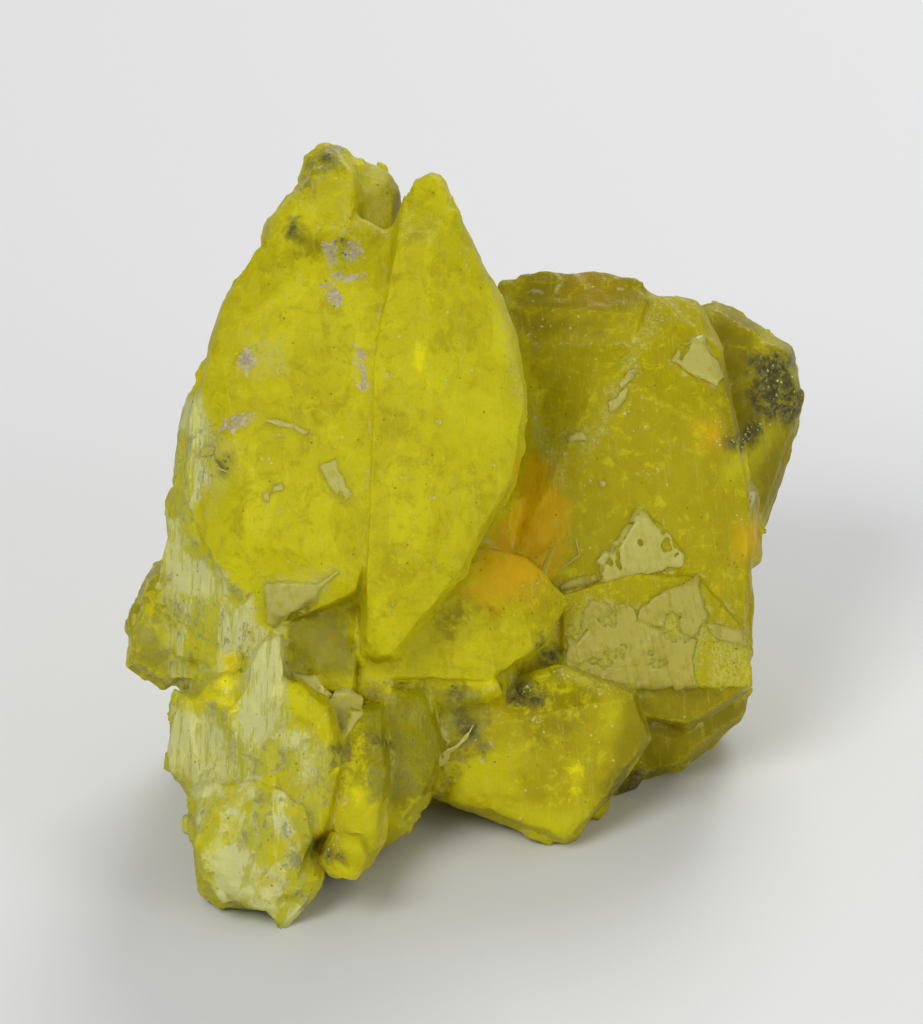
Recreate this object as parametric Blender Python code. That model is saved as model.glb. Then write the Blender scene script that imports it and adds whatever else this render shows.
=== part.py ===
"""A jouravskite specimen: stout yellow crystals grown together in one piece, resting on their broken base.

The crystals are laid out on the cluster's face, which leans back by LEAN. On it U runs to the right,
V up the face and N straight out of it, in millimetres, from the tip of the front foot. Each crystal is a
block cut by flat faces, as a lapidary would cut it, all are joined in one solid, and the base is cut level.
"""

import math
import random

import bmesh
import bpy
from mathutils import Matrix, Vector

MM = 0.001
LEAN = math.radians(25)  # how far the cluster's face leans back from upright
CENTRE = Vector((-0.5, -6.31, 0.0))  # moves the foot's tip so that the cluster stands over the origin
BLANK = 60.0  # side of the block that a crystal is cut from, in mm
WELD = 1e-5  # how near a cut may pass to a corner before it takes it, in mm
SEED = 7
FAN_BLADES = 7  # blades that radiate down the front lobe

STANDING = Matrix.Scale(MM, 4) @ Matrix.Translation(CENTRE)  # upright millimetres to world metres
FACE = STANDING @ Matrix(
    (
        (1, 0, 0, 0),
        (0, math.sin(LEAN), -math.cos(LEAN), 0),
        (0, math.cos(LEAN), math.sin(LEAN), 0),
        (0, 0, 0, 1),
    )
)

WALL_LEAN = 13  # degrees that a crystal's side narrows towards the front
BACK_LEAN = 9  # and towards the back
STEP_SIZES = (0.12, 0.34)  # size of the small crystals in line with a large one, as a share of it
STEP_OUT = (0.03, 0.11)  # how far they stand out of its side, in mm
STEP_DOWN = (-0.25, 0.9)  # how far their girdle lies below its own, in mm
STEP_DEPTH = 1.3
PLATE_ROOT = 0.6  # how deep a thin plate is rooted in the crystal that carries it, in mm
PYRAMID_LEAN = 36  # degrees between a six-sided crystal's side and its end faces


def cut(bm, point, normal):
    """Takes away what lies outside the plane and closes the block again."""
    everything = bm.verts[:] + bm.edges[:] + bm.faces[:]
    bmesh.ops.bisect_plane(
        bm, geom=everything, dist=WELD, plane_co=point, plane_no=normal, clear_outer=True
    )
    bmesh.ops.holes_fill(bm, edges=[edge for edge in bm.edges if edge.is_boundary])


def block():
    bm = bmesh.new()
    bmesh.ops.create_cube(bm, size=BLANK)
    return bm


def tilted(azimuth, tilt):
    """The normal of a face that faces N, turned by tilt degrees towards azimuth degrees round from U."""
    around = math.radians(azimuth)
    away = math.radians(tilt)
    return Vector((math.sin(away) * math.cos(around), math.sin(away) * math.sin(around), math.cos(away)))


def grown(name, bm, place):
    """Makes the block an object of the group that is joined later."""
    bmesh.ops.transform(bm, matrix=place, verts=bm.verts)
    bmesh.ops.recalc_face_normals(bm, faces=bm.faces)
    mesh = bpy.data.meshes.new(name)
    bm.to_mesh(mesh)
    bm.free()
    obj = bpy.data.objects.new(name, mesh)
    obj.hide_render = True
    obj.display_type = "WIRE"
    CRYSTALS.objects.link(obj)
    return obj


def crystal(name, outline, girdle, back, faces, wall=WALL_LEAN, behind=BACK_LEAN, steps=0):
    """A crystal seen from its front: its convex outline at the girdle, counter-clockwise, sides that narrow
    both ways, and the flat faces that close its front, each a point on it, its azimuth and its tilt."""
    parallel_growth(name, outline, girdle, faces, wall, behind, steps)
    bm = block()
    for (u, v), (next_u, next_v) in zip(outline, outline[1:] + outline[:1]):
        side = Vector((next_v - v, u - next_u, 0)).normalized()
        for lean, outwards in ((math.radians(wall), 1), (math.radians(behind), -1)):
            normal = side * math.cos(lean) + Vector((0, 0, outwards)) * math.sin(lean)
            cut(bm, (u, v, girdle), normal)
    cut(bm, (0, 0, back), (0, 0, -1))
    for point, azimuth, tilt in faces:
        cut(bm, point, tilted(azimuth, tilt))
    return grown(name, bm, FACE)


def parallel_growth(name, outline, girdle, faces, wall, behind, count):
    """Small copies of a crystal, in line with it, that stand a little out of its sides and step them."""
    middle = sum((Vector(corner) for corner in outline), Vector((0, 0))) / len(outline)
    for i in range(count):
        at = (i + random.uniform(0.1, 0.9)) / count * len(outline)
        corner, next_corner = outline[int(at)], outline[(int(at) + 1) % len(outline)]
        edge = Vector(corner).lerp(Vector(next_corner), at % 1)
        size = random.uniform(*STEP_SIZES)
        stands_out = random.uniform(*STEP_OUT) / (edge - middle).length
        centre = middle + (edge - middle) * (1 - size + stands_out)
        level = girdle - random.uniform(*STEP_DOWN)
        small_outline = [tuple(centre + (Vector(corner) - middle) * size) for corner in outline]
        small_faces = []
        for (u, v, n), azimuth, tilt in faces:
            spot = centre + (Vector((u, v)) - middle) * size
            small_faces.append(((spot.x, spot.y, level + (n - girdle) * size), azimuth, tilt))
        crystal(f"{name}_step_{i}", small_outline, level, level - STEP_DEPTH, small_faces, wall, behind)


def six_sided(name, foot, tip, radius, turn=0.0, end=PYRAMID_LEAN, flat_tip=0.35, place=STANDING):
    """A six-sided crystal from foot to tip with a cut-off pyramid at each end."""
    foot, tip = Vector(foot), Vector(tip)
    half = (tip - foot).length / 2
    lean = math.radians(90 - end)
    bm = block()
    for side in range(6):
        angle = math.radians(60 * side + turn)
        out = Vector((math.cos(angle), math.sin(angle), 0))
        cut(bm, out * radius, out)
        for end_way in (1, -1):
            shoulder = half - (radius * (1 - flat_tip)) * math.tan(math.radians(90) - lean)
            along = Vector((0, 0, end_way))
            cut(bm, out * radius + along * shoulder, out * math.cos(lean) + along * math.sin(lean))
    for end_way in (1, -1):
        cut(bm, (0, 0, half * end_way), (0, 0, end_way))
    along_axis = (tip - foot).to_track_quat("Z", "Y").to_matrix().to_4x4()
    middle = Matrix.Translation((foot + tip) / 2)
    return grown(name, bm, place @ middle @ along_axis)


def plate(name, outline, face, rise):
    """A thin cleaved plate that stands out from a crystal's face by rise."""
    (u, v, n), azimuth, tilt = face
    level = n - PLATE_ROOT
    crystal(name, outline, level, level - PLATE_ROOT, [((u, v, n + rise), azimuth, tilt)], wall=3, behind=3)


def druse(name, start, end, count, size, spread, lean_to, place=FACE):
    """A row of small six-sided crystals from start to end, which lean loosely one way."""
    start, end = Vector(start), Vector(end)
    for i in range(count):
        at = start.lerp(end, (i + random.uniform(0.1, 0.9)) / count)
        at += Vector([random.uniform(-spread, spread) for _ in range(3)])
        radius = size * random.uniform(0.6, 1.25)
        way = (Vector(lean_to) + Vector([random.uniform(-0.45, 0.45) for _ in range(3)])).normalized()
        half = way * radius * random.uniform(1.7, 2.6)
        six_sided(f"{name}_{i}", at - half, at + half, radius, turn=random.uniform(0, 60), place=place)


def front_crystals():
    """The two large crystals of the front, and the small clear ones at the top."""
    crystal(
        "spear",
        [
            (-1.50, 5.80), (-1.45, 4.90), (-1.20, 4.65), (-0.75, 4.70), (0.50, 6.25), (1.40, 7.90),
            (1.60, 9.40), (1.35, 10.50), (0.80, 11.70), (0.05, 13.25), (-0.20, 13.35), (-0.55, 13.15),
            (-0.95, 12.10), (-1.35, 10.25),
        ],
        girdle=-0.95,
        back=-5.2,
        behind=17,
        faces=[
            ((-0.60, 8.5, 0.10), 178, 10),
            ((-0.05, 8.5, 0.12), 2, 23),
            ((0.55, 11.6, -0.35), 32, 44),
            ((-0.30, 12.1, -0.05), 92, 46),
            ((0.75, 7.0, -0.25), -40, 28),
            ((-0.90, 5.4, -0.05), -92, 30),
        ],
        steps=4,
    )
    crystal(
        "spear_tip",
        [(-0.75, 11.70), (0.45, 11.70), (0.55, 12.10), (0.05, 13.25), (-0.20, 13.35), (-0.55, 13.15)],
        girdle=-1.15,
        back=-2.8,
        behind=18,
        faces=[((-0.20, 12.1, -0.28), 88, 27), ((0.20, 12.1, -0.35), 25, 48)],
    )
    crystal(
        "broad_crystal",
        [
            (-4.45, 8.75), (-4.40, 7.35), (-3.95, 6.20), (-3.00, 5.15), (-1.35, 5.80), (-0.35, 8.90),
            (-0.70, 12.10), (-1.65, 12.70), (-2.70, 12.50), (-3.20, 12.00), (-3.90, 10.95),
            (-4.25, 9.65),
        ],
        girdle=-0.85,
        back=-5.6,
        behind=14,
        faces=[
            ((-2.50, 9.0, -0.10), 150, 5),
            ((-3.30, 10.9, -0.30), 128, 28),
            ((-3.95, 8.6, -0.40), 184, 34),
            ((-3.40, 6.5, -0.28), 242, 27),
            ((-1.75, 8.5, -0.06), 2, 3),
            ((-2.10, 11.7, -0.38), 88, 30),
        ],
        steps=7,
    )
    plate(
        "pale_flake",
        [(-3.05, 5.55), (-2.75, 5.35), (-2.05, 5.85), (-2.0, 6.1), (-2.9, 6.15)],
        face=((-3.40, 6.5, -0.28), 242, 27),
        rise=0.12,
    )
    crystal(
        "top_crystal",
        [
            (-2.65, 12.80), (-2.45, 12.00), (-1.90, 11.80), (-1.35, 12.15), (-1.25, 12.95), (-1.35, 13.40),
            (-1.70, 13.80), (-2.05, 13.85), (-2.35, 13.65),
        ],
        girdle=-1.7,
        back=-3.4,
        faces=[
            ((-1.80, 12.9, -0.75), 170, 14), ((-1.55, 12.9, -0.72), 5, 38),
            ((-2.0, 13.4, -0.95), 95, 42),
        ],
        steps=3,
    )
    crystal(
        "top_right_crystal",
        [(-1.65, 13.65), (-1.60, 12.80), (-1.40, 11.75), (-0.70, 11.90), (-0.65, 13.00), (-0.90, 13.35)],
        girdle=-2.1,
        back=-3.8,
        faces=[((-1.1, 12.8, -1.35), 20, 18), ((-1.0, 13.2, -1.5), 75, 45)],
        steps=3,
    )
    crystal(
        "top_left_crystal",
        [(-3.20, 11.90), (-2.45, 11.45), (-1.85, 12.10), (-2.20, 12.85), (-2.65, 12.95), (-3.10, 12.40)],
        girdle=-1.6,
        back=-4.2,
        faces=[((-2.5, 12.2, -0.85), 150, 16), ((-2.9, 12.4, -1.05), 140, 48)],
        steps=4,
    )


def frosted_foot():
    """The pale cleaved mass down the left side, and the lobe that it stands on."""
    crystal(
        "left_tab",
        [
            (-5.55, 4.60), (-4.85, 4.15), (-3.95, 4.20), (-3.75, 5.80), (-4.20, 6.50), (-4.85, 6.60),
            (-5.25, 6.10), (-5.50, 5.25),
        ],
        girdle=-2.3,
        back=-4.6,
        faces=[((-4.8, 5.3, -1.55), 190, 8), ((-5.2, 5.9, -1.75), 150, 36)],
        steps=4,
    )
    crystal(
        "frosted_side",
        [
            (-4.95, 6.30), (-4.80, 4.70), (-3.50, 4.20), (-2.65, 5.10), (-4.00, 9.55), (-4.45, 9.45),
            (-4.80, 7.50),
        ],
        girdle=-1.6,
        back=-5.4,
        faces=[((-4.0, 6.3, -0.80), 200, 15), ((-4.4, 7.9, -1.05), 182, 40), ((-3.8, 4.8, -0.85), 262, 24)],
        steps=7,
    )
    crystal(
        "frosted_step",
        [
            (-4.85, 2.80), (-4.50, 2.30), (-3.15, 2.30), (-2.45, 3.00), (-2.65, 4.20), (-3.50, 4.70),
            (-4.20, 4.55), (-4.70, 4.10),
        ],
        girdle=-1.3,
        back=-5.0,
        faces=[((-3.9, 3.5, -0.25), 195, 14), ((-4.4, 3.2, -0.45), 186, 42), ((-4.1, 4.2, -0.40), 110, 34)],
        steps=7,
    )
    crystal(
        "lobe",
        [
            (-4.50, 2.45), (-4.45, 1.50), (-4.25, 0.70), (-3.90, 0.35), (-3.10, 0.30), (-2.30, 0.65),
            (-1.90, 1.60), (-2.10, 2.45), (-3.15, 2.90), (-4.10, 2.80),
        ],
        girdle=-0.5,
        back=-5.5,
        faces=[
            ((-3.2, 1.6, 0.72), 250, 9),
            ((-4.0, 1.6, 0.45), 188, 38),
            ((-3.3, 0.8, 0.50), 268, 36),
            ((-3.5, 2.3, 0.62), 120, 26),
            ((-2.4, 1.3, 0.62), 330, 24),
        ],
        steps=8,
    )
    crystal(
        "stub",
        [(-3.20, 0.45), (-2.80, 0.00), (-2.45, 0.20), (-2.00, 0.80), (-2.15, 1.20), (-2.80, 1.15)],
        girdle=-0.1,
        back=-2.4,
        faces=[((-2.6, 0.5, 0.22), 300, 16)],
        steps=4,
    )
    crystal(
        "small_yellow_crystal",
        [(-2.15, 1.20), (-1.95, 0.95), (-1.45, 0.80), (-1.20, 1.25), (-1.35, 1.75), (-1.90, 1.80)],
        girdle=0.55,
        back=-1.6,
        faces=[((-1.7, 1.3, 0.92), 280, 20), ((-1.6, 1.6, 0.90), 80, 35)],
    )
    crystal(
        "white_blade",
        [(-3.50, 3.80), (-2.70, 3.80), (-2.70, 5.25), (-3.10, 5.15), (-3.45, 4.65)],
        girdle=-0.6,
        back=-2.6,
        wall=5,
        faces=[((-2.9, 4.5, 0.10), 188, 13)],
    )
    crystal(
        "left_core",
        [
            (-3.95, 2.45), (-3.30, 1.40), (-2.45, 0.95), (-1.85, 1.60), (-1.60, 3.00), (-1.85, 4.00),
            (-2.45, 4.40), (-3.40, 4.40), (-3.75, 3.95),
        ],
        girdle=-0.3,
        back=-4.6,
        faces=[
            ((-2.6, 2.7, 0.50), 15, 10),
            ((-3.1, 3.7, 0.28), 110, 27),
            ((-3.4, 2.6, 0.38), 185, 24),
            ((-2.2, 1.7, 0.45), 300, 16),
            ((-1.9, 2.8, 0.32), 0, 40),
        ],
        steps=6,
    )
    for i in range(FAN_BLADES):
        share = i / (FAN_BLADES - 1)
        around = math.radians(205 + 100 * share)
        tip = Vector((-3.0 + 1.25 * math.cos(around), 1.75 + 1.40 * math.sin(around), 0.30 - 0.25 * share))
        radius = random.uniform(0.30, 0.42)
        six_sided(f"fan_blade_{i}", (-2.95, 2.45, 0.05), tip, radius, turn=13 * i, place=FACE)
    six_sided("frosted_blade_0", (-4.15, 4.15, -0.75), (-4.55, 2.55, -0.95), 0.36, turn=10, place=FACE)
    six_sided("frosted_blade_1", (-3.80, 4.3, -0.55), (-4.15, 2.35, -0.75), 0.34, turn=40, place=FACE)


def lower_middle():
    """The glowing crystals under the front ones, which step back to the right, and the shelf above them."""
    crystal(
        "lower_crystal_front",
        [
            (-2.15, 1.90), (-2.00, 1.00), (-1.45, 0.80), (-0.95, 1.40), (-0.80, 2.95), (-0.95, 4.00),
            (-1.65, 4.00), (-2.00, 3.00),
        ],
        girdle=-1.0,
        back=-5.2,
        faces=[((-1.5, 2.2, -0.10), 10, 20), ((-1.2, 1.4, -0.35), 320, 38), ((-1.4, 3.2, -0.25), 70, 26)],
        steps=4,
    )
    crystal(
        "lower_crystal_back",
        [
            (-1.30, 2.60), (-1.10, 1.35), (-0.60, 1.60), (-0.15, 2.20), (0.20, 3.15), (-0.20, 4.30),
            (-1.20, 4.30),
        ],
        girdle=-2.4,
        back=-7.0,
        faces=[((-0.7, 2.6, -1.30), 340, 18), ((-0.3, 3.2, -1.60), 20, 36), ((-0.7, 1.9, -1.50), 290, 36)],
        steps=4,
    )
    crystal(
        "shelf",
        [
            (-1.60, 5.95), (-1.55, 4.30), (0.90, 4.25), (1.90, 4.95), (2.35, 5.80), (1.50, 6.60),
            (0.30, 6.80),
        ],
        girdle=-2.7,
        back=-7.0,
        wall=6,
        faces=[((-0.6, 5.0, -1.45), 340, 16), ((1.2, 5.6, -2.15), 15, 30), ((0.6, 6.2, -1.95), 75, 32)],
        steps=3,
    )
    crystal(
        "recess_wall",
        [(-1.6, 4.6), (-1.4, 2.4), (0.1, 2.2), (1.2, 2.9), (1.4, 4.7)],
        girdle=-3.4,
        back=-8.0,
        faces=[((0.3, 3.5, -2.40), 15, 12), ((0.0, 2.9, -2.50), 280, 30)],
    )


def right_block():
    """The olive block on the right, with its ledges, the foot that juts out under it and the slab on it."""
    crystal(
        "right_main",
        [
            (0.50, 4.20), (4.40, 3.40), (5.55, 4.15), (5.55, 7.70), (5.00, 10.30), (3.70, 11.30),
            (2.10, 11.60), (1.05, 11.30), (0.50, 9.30),
        ],
        girdle=-4.6,
        back=-9.2,
        wall=9,
        faces=[
            ((2.6, 7.6, -3.40), 350, 9),
            ((2.1, 8.6, -3.40), 147, 20),
            ((4.6, 9.4, -3.85), 42, 26),
            ((5.0, 6.9, -3.85), 5, 28),
            ((2.9, 10.6, -4.15), 96, 40),
        ],
        steps=9,
    )
    crystal(
        "right_top",
        [(0.70, 8.90), (3.50, 9.30), (3.80, 11.15), (3.45, 11.50), (2.85, 11.65), (1.00, 11.45)],
        girdle=-4.8,
        back=-8.6,
        behind=14,
        faces=[((2.0, 10.6, -4.05), 110, 14), ((2.4, 11.2, -4.35), 92, 42)],
        steps=5,
    )
    crystal(
        "right_ledge",
        [
            (3.50, 10.50), (3.70, 8.75), (5.10, 8.60), (5.05, 10.25), (4.60, 11.10), (4.05, 11.25),
            (3.75, 11.15),
        ],
        girdle=-5.0,
        back=-8.8,
        faces=[((4.3, 10.0, -4.15), 60, 12), ((4.3, 10.8, -4.40), 84, 44)],
        steps=4,
    )
    crystal(
        "right_back",
        [
            (4.55, 7.90), (5.25, 6.30), (5.90, 7.00), (6.55, 9.25), (6.50, 9.70), (6.35, 10.30),
            (4.95, 11.15), (4.55, 11.00),
        ],
        girdle=-6.9,
        back=-8.9,
        faces=[((5.5, 9.4, -5.85), 20, 13), ((6.1, 9.0, -6.15), 350, 42), ((5.4, 10.5, -6.05), 70, 35)],
        steps=8,
    )
    crystal(
        "right_corner",
        [(4.40, 8.25), (4.55, 6.50), (5.55, 6.25), (5.75, 6.40), (5.70, 7.70), (5.10, 8.60)],
        girdle=-5.2,
        back=-8.4,
        faces=[((5.1, 7.2, -4.40), 15, 14)],
        steps=3,
    )
    crystal(
        "foot",
        [
            (0.05, 2.20), (1.85, 1.50), (2.20, 1.40), (2.40, 1.50), (3.00, 2.20), (3.75, 3.30),
            (3.50, 4.20), (2.10, 4.65), (1.05, 4.40), (0.20, 3.15),
        ],
        girdle=-3.2,
        back=-8.0,
        behind=4,
        faces=[
            ((1.9, 3.0, -2.45), 80, 9),
            ((1.0, 3.0, -2.50), 195, 13),
            ((2.9, 3.0, -2.60), 345, 20),
            ((1.8, 4.0, -2.70), 95, 30),
        ],
        steps=6,
    )
    crystal(
        "foot_right",
        [
            (2.45, 3.30), (2.80, 2.45), (3.50, 2.50), (4.40, 2.75), (5.45, 3.65), (5.55, 4.20),
            (4.55, 5.10), (2.80, 4.90),
        ],
        girdle=-5.5,
        back=-9.6,
        faces=[((3.8, 3.9, -4.50), 340, 14), ((4.8, 4.0, -4.85), 0, 38), ((3.9, 3.2, -4.65), 275, 34)],
        steps=7,
    )
    crystal(
        "slab",
        [(2.10, 4.20), (4.40, 4.15), (5.55, 4.15), (5.55, 5.10), (4.65, 6.20), (3.50, 6.30), (2.10, 5.90)],
        girdle=-4.2,
        back=-5.2,
        wall=4,
        faces=[((3.2, 5.0, -3.32), 300, 4), ((4.9, 5.0, -3.55), 10, 20)],
        steps=4,
    )
    plate(
        "upper_flake",
        [(4.10, 10.0), (4.30, 9.75), (5.0, 9.5), (4.95, 9.95), (4.60, 10.5)],
        face=((4.6, 9.4, -3.85), 42, 26),
        rise=0.09,
    )
    plate(
        "middle_flake",
        [(2.75, 6.20), (3.0, 5.95), (4.35, 6.25), (4.40, 6.50), (4.0, 7.05), (3.55, 7.40)],
        face=((2.6, 7.6, -3.40), 350, 9),
        rise=0.12,
    )
    crystal(
        "lower_piece",
        [(2.95, 3.00), (3.00, 2.15), (3.50, 2.40), (3.75, 2.65), (3.50, 3.05)],
        girdle=-5.1,
        back=-6.2,
        faces=[((3.3, 2.6, -4.75), 270, 20)],
    )


def back_crystals():
    """The heart of the cluster, and the upright crystals of its back, which stand on the broken base."""
    crystal(
        "heart_left",
        [
            (-4.10, 5.2), (-2.4, 3.4), (0.0, 3.6), (0.9, 5.6), (0.6, 10.8), (-1.2, 11.6), (-2.6, 11.3),
            (-3.9, 9.3),
        ],
        girdle=-4.2,
        back=-6.4,
        faces=[((-1.0, 7.0, -2.6), 270, 9)],
    )
    crystal(
        "heart_front",
        [(-2.90, 4.9), (-1.15, 4.9), (-0.75, 6.0), (-0.60, 8.7), (-2.70, 8.7)],
        girdle=-1.9,
        back=-3.6,
        wall=2,
        faces=[((-1.7, 7.0, -1.15), 0, 0)],
    )
    crystal(
        "heart_right",
        [(0.2, 3.3), (4.4, 3.9), (5.1, 6.4), (4.9, 9.6), (2.8, 10.8), (0.6, 10.4)],
        girdle=-6.6,
        back=-8.8,
        faces=[((2.0, 7.0, -5.0), 0, 3)],
    )
    crystal(
        "heart_low",
        [(-4.0, 5.3), (-3.7, 3.2), (-1.8, 2.2), (-0.6, 2.6), (-0.8, 5.2)],
        girdle=-3.0,
        back=-5.8,
        faces=[((-2.6, 4.2, -1.55), 10, 6)],
    )
    crystal(
        "under_broad",
        [(-3.25, 5.9), (-3.10, 4.1), (-1.5, 4.1), (-1.3, 6.0)],
        girdle=-1.4,
        back=-3.6,
        faces=[((-2.1, 5.0, -0.80), 310, 7)],
    )
    six_sided("root", (-0.9, 7.0, -1.2), (-0.4, 7.9, 6.4), 2.3, turn=12)
    six_sided("root_front", (-0.2, 6.0, 0.2), (0.9, 7.6, 4.2), 1.6, turn=35)
    six_sided("back_left", (-2.5, 8.3, -1.5), (-2.2, 7.6, 7.2), 1.55, turn=40)
    six_sided("back_left_small", (-3.6, 7.4, 0.5), (-3.9, 8.3, 5.2), 0.95, turn=8)
    six_sided("back_middle", (0.5, 9.2, 0.35), (0.2, 8.7, 8.1), 1.45, turn=5)
    six_sided("back_right", (3.0, 9.4, -1.5), (3.6, 10.3, 6.9), 1.6, turn=24)
    six_sided("back_right_small", (1.8, 10.3, 0.6), (1.7, 11.2, 4.6), 0.95, turn=50)
    six_sided("left_stay", (-3.1, 5.0, -1.2), (-2.9, 5.9, 4.6), 1.3, turn=20)
    six_sided("right_stay", (1.7, 7.4, -1.2), (2.2, 8.2, 4.6), 1.5, turn=50)


def small_crystals():
    """Rows of small crystals in the seams and on the broken margins."""
    druse("crown", (-2.9, 11.9, -2.0), (-1.3, 12.8, -2.3), 6, 0.30, 0.12, (-0.1, 1, 0.0))
    druse("recess", (-0.3, 4.0, -4.2), (1.5, 4.5, -3.7), 5, 0.24, 0.10, (0.2, 0.4, 0.9))
    druse("back_seam", (-2.6, 8.4, 5.2), (4.0, 10.4, 4.2), 12, 0.45, 0.4, (0.1, 0.8, 0.7), place=STANDING)
    druse("back_low", (-3.2, 8.6, 1.9), (4.2, 10.6, 1.7), 9, 0.55, 0.3, (0.0, 0.25, 1.0), place=STANDING)


def cluster():
    """All crystals joined in one solid, with its base cut level."""
    first, *others = CRYSTALS.objects
    CRYSTALS.objects.unlink(first)
    first.name = first.data.name = "jouravskite_cluster"
    first.hide_render = False
    first.display_type = "TEXTURED"
    bpy.context.scene.collection.objects.link(first)
    joined = first.modifiers.new("grown together", "BOOLEAN")
    joined.operation = "UNION"
    joined.operand_type = "COLLECTION"
    joined.collection = CRYSTALS
    joined.solver = "EXACT"
    below = bpy.data.meshes.new("below_base")
    bm = block()
    bmesh.ops.transform(
        bm, matrix=Matrix.Scale(MM, 4) @ Matrix.Translation((0, 0, -BLANK / 2)), verts=bm.verts
    )
    bm.to_mesh(below)
    bm.free()
    cutter = bpy.data.objects.new("below_base", below)
    cutter.hide_render = True
    cutter.display_type = "WIRE"
    bpy.context.scene.collection.objects.link(cutter)
    level = first.modifiers.new("level base", "BOOLEAN")
    level.operation = "DIFFERENCE"
    level.object = cutter
    level.solver = "EXACT"
    return first


def crystal_material():
    material = bpy.data.materials.new("jouravskite")
    material.use_nodes = True
    shader = material.node_tree.nodes["Principled BSDF"]
    shader.inputs["Base Color"].default_value = (0.46, 0.42, 0.02, 1)
    shader.inputs["Roughness"].default_value = 0.35
    shader.inputs["Metallic"].default_value = 0.0
    shader.inputs["IOR"].default_value = 1.55
    return material


for old in list(bpy.data.objects):
    bpy.data.objects.remove(old)

random.seed(SEED)
CRYSTALS = bpy.data.collections.new("crystals")
bpy.context.scene.collection.children.link(CRYSTALS)
CRYSTALS.hide_render = True
front_crystals()
frosted_foot()
lower_middle()
right_block()
back_crystals()
small_crystals()
cluster().data.materials.append(crystal_material())
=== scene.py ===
"""The jouravskite specimen dressed: waxy and clear yellow crystal, frosted cleavage, flakes, needles and grains."""

import math
import random

import bmesh
import bpy
import numpy as np
from mathutils import Matrix, Vector, noise
from mathutils.bvhtree import BVHTree


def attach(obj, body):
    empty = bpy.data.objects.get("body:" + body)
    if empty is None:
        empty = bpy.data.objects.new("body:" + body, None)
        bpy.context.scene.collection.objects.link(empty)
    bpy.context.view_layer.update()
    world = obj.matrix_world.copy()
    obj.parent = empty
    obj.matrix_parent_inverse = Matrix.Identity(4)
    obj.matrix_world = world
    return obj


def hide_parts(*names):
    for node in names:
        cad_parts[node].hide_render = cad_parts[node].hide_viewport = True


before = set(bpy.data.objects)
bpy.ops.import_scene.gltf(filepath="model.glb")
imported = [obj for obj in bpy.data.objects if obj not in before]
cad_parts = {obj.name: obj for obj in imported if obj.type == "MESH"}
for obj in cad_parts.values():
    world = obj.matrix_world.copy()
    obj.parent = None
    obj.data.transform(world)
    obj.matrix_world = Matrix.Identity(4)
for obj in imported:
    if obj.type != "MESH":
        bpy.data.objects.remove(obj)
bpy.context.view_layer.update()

MM = 0.001
LEAN = math.radians(25)  # how far the cluster's face leans back
CENTRE = Vector((-0.5, -6.31, 0.0))
STANDING = Matrix.Scale(MM, 4) @ Matrix.Translation(CENTRE)
# On the cluster's leaning face U runs right, V up and N out of it, in millimetres
FACE = STANDING @ Matrix(
    (
        (1, 0, 0, 0),
        (0, math.sin(LEAN), -math.cos(LEAN), 0),
        (0, math.cos(LEAN), math.sin(LEAN), 0),
        (0, 0, 0, 1),
    )
)
ON_FACE = FACE.inverted()
OUT = Vector((0, 0, 1))  # straight out of the face
WELL_OUT = 20.0  # in front of the whole cluster, in mm
UP = Vector((0, math.cos(LEAN), math.sin(LEAN)))  # the world's up, on the face

VIEW_CENTRE = (0.376, 7.315)
VIEW_HEIGHT = 17.92
VIEW_AWAY = 300.0
SENSOR = 36.0
TABLE_LOOK = (0.72, 0.72, 0.70, 1)
TABLE_HALF = 0.6  # half the floor's width, in metres
LAMP_AIM = Vector((0, 0, 0.005))
# Each lamp's place and width, in metres, and its power in watts
LAMPS = {
    "key": ((-0.08, -0.15, 0.15), 0.10, 0.25),
    "fill": ((0.16, -0.14, 0.06), 0.12, 0.13),
    "back": ((0.04, 0.16, 0.12), 0.10, 0.185),
}
SKY_COLOUR = (0.92, 0.94, 1.0, 1)
SKY_STRENGTH = 0.39

REFINING_PASSES = 6  # how often a mesh is gone over for edges that are too long
# The longest edges that the body's mesh may have, in mm
FINE_EDGE = 0.12  # left of and below FINE_CORNER, where the crystal is frosted
FINE_CORNER = (-2.2, 6.6)
FRONT_EDGE = 0.15
BACK_EDGE = 0.30  # on faces that look back more than LOOKS_BACK along N
LOOKS_BACK = -0.2
BASE_EDGE = 0.9

DOUBLE = 1e-7  # the solid's points that are closer than this, in metres, are one
FLAT = math.radians(0.2)  # faces that bend less than this are one
TINY = 0.002  # edges shorter than this, in mm, are closed up
SHARP = 0.35  # the bend, in radians, that makes a crystal's edge or a crevice
FOLDED = 1.6  # the bend that only a fold in the mesh has
UNFOLDINGS = 10
BASE_TOP = 0.02  # heights over the table, in mm: of the flat base,
EASED_FROM = 0.05  # of the lowest point that is moved when the edges are eased,
GRAINS_FROM = 0.15  # of the lowest grain,
ROUGH_FROM = 0.3  # and of the first fully broken surface

FAN = Vector((-3.0, 3.9))  # where the fibres of the front lobe radiate from
FAN_TOP = FAN.y - 1.6  # the highest point at which they do
random.seed(11)


# ---------------------------------------------------------------- zones of the face

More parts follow.
